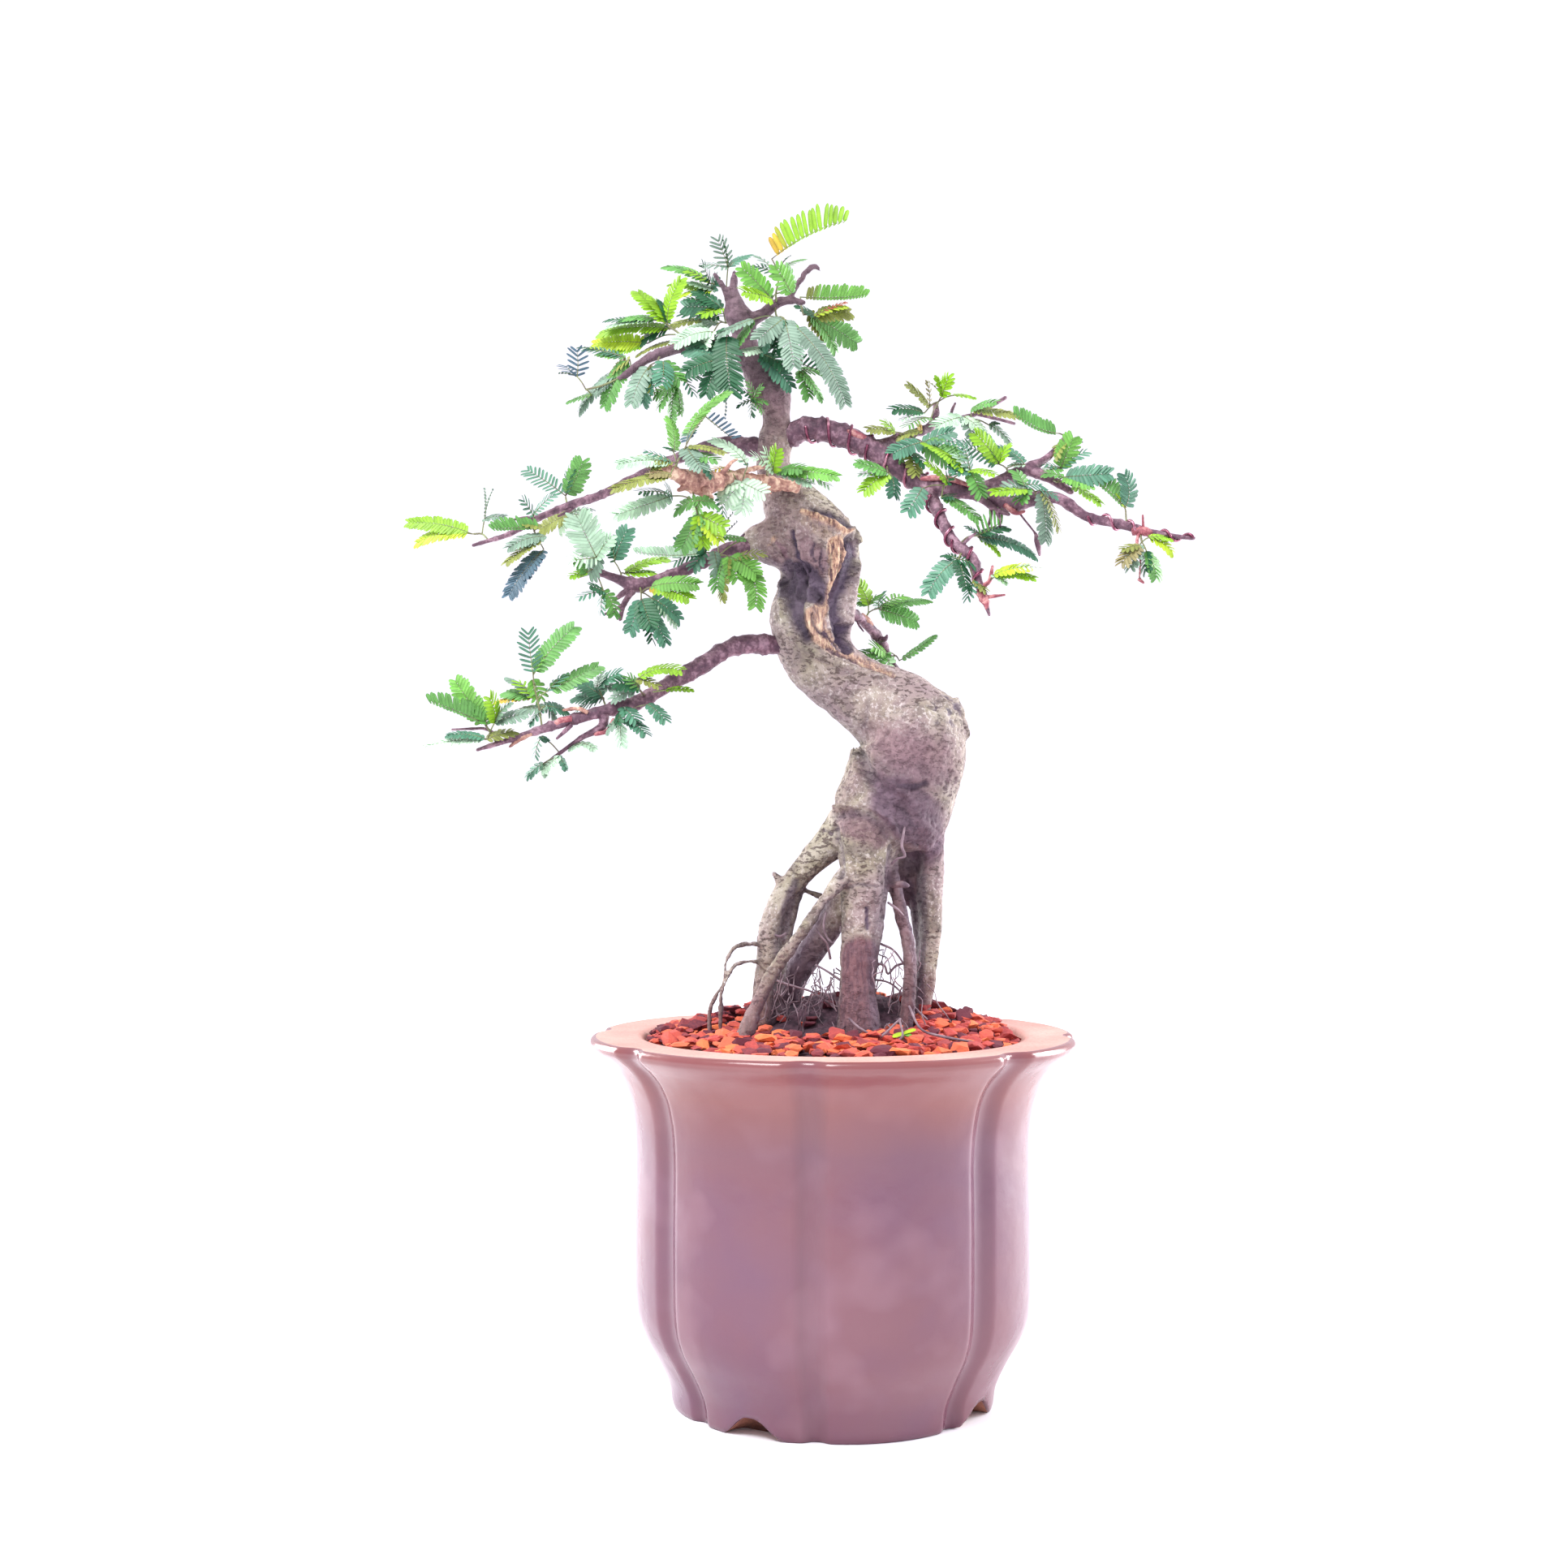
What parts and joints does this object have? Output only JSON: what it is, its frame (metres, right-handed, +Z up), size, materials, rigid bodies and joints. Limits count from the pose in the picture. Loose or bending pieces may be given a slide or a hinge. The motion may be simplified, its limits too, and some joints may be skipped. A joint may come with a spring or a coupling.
{
  "type": "calliandra bonsai",
  "caption": "Small calliandra tree with a curved trunk on exposed roots and wide feathery branches, growing in a lobed, flared, glazed round pot.",
  "frame": {"origin": "under the middle of the whole object's bounding box, on the floor that the pot stands on", "axes": "+Z up, +X to the viewer's right and -Y towards the viewer in the front view of the tree"},
  "size_m": [0.3258, 0.1978, 0.4805],
  "materials": {
    "glazed_pot": "glossy mottled glaze",
    "plastic_mesh": "moulded, matte",
    "potting_soil": "damp crumb",
    "clay_grit": "crushed brick-red clay",
    "trunk_bark": "rough bark, bare wood in the hollow",
    "twig_bark": "young bark",
    "training_wire": "anodised, satin",
    "foliage": "living leaf"
  },
  "bodies": {
    "root": {"pot": "glazed_pot", "drain_mesh": "plastic_mesh", "soil": "potting_soil", "grit": "clay_grit", "trunk": "trunk_bark", "branch_back_right": "twig_bark", "branch_drooping": "twig_bark", "branch_front": "twig_bark", "branch_lower_left": "twig_bark", "branch_right": "twig_bark", "branch_second_left": "twig_bark", "branch_upper_left": "twig_bark", "wire_drooping": "training_wire", "wire_right": "training_wire", "wire_tip": "training_wire", "leaves_apex_left": "foliage", "leaves_apex_right": "foliage", "leaves_apex_top": "foliage", "leaves_back_lower": "foliage", "leaves_back_upper": "foliage", "leaves_crown_centre": "foliage", "leaves_crown_dark": "foliage", "leaves_crown_hanging": "foliage", "leaves_crown_left_end": "foliage", "leaves_crown_left_low": "foliage", "leaves_crown_lime": "foliage", "leaves_crown_mint": "foliage", "leaves_droop_lime": "foliage", "leaves_droop_upper": "foliage", "leaves_droop_vee": "foliage", "leaves_far_left": "foliage", "leaves_front_end": "foliage", "leaves_front_low": "foliage", "leaves_front_mint": "foliage", "leaves_front_right": "foliage", "leaves_lower_crescent": "foliage", "leaves_lower_far": "foliage", "leaves_lower_teal": "foliage", "leaves_lower_twig": "foliage", "leaves_lower_under": "foliage", "leaves_lower_vee": "foliage", "leaves_right_dark": "foliage", "leaves_right_fork_end": "foliage", "leaves_right_fork_up": "foliage", "leaves_right_lime_low": "foliage", "leaves_right_low_fork": "foliage", "leaves_right_mid": "foliage", "leaves_right_striped": "foliage", "leaves_right_tall": "foliage", "leaves_right_tip": "foliage", "leaves_right_twig": "foliage", "leaves_right_vee": "foliage", "leaves_second_end": "foliage", "leaves_second_low": "foliage", "leaves_second_mid": "foliage", "leaves_second_near": "foliage", "leaves_trunk_tuft": "foliage", "leaves_upper_mid": "foliage", "leaves_upper_vee": "foliage"}
  },
  "joints": []
}
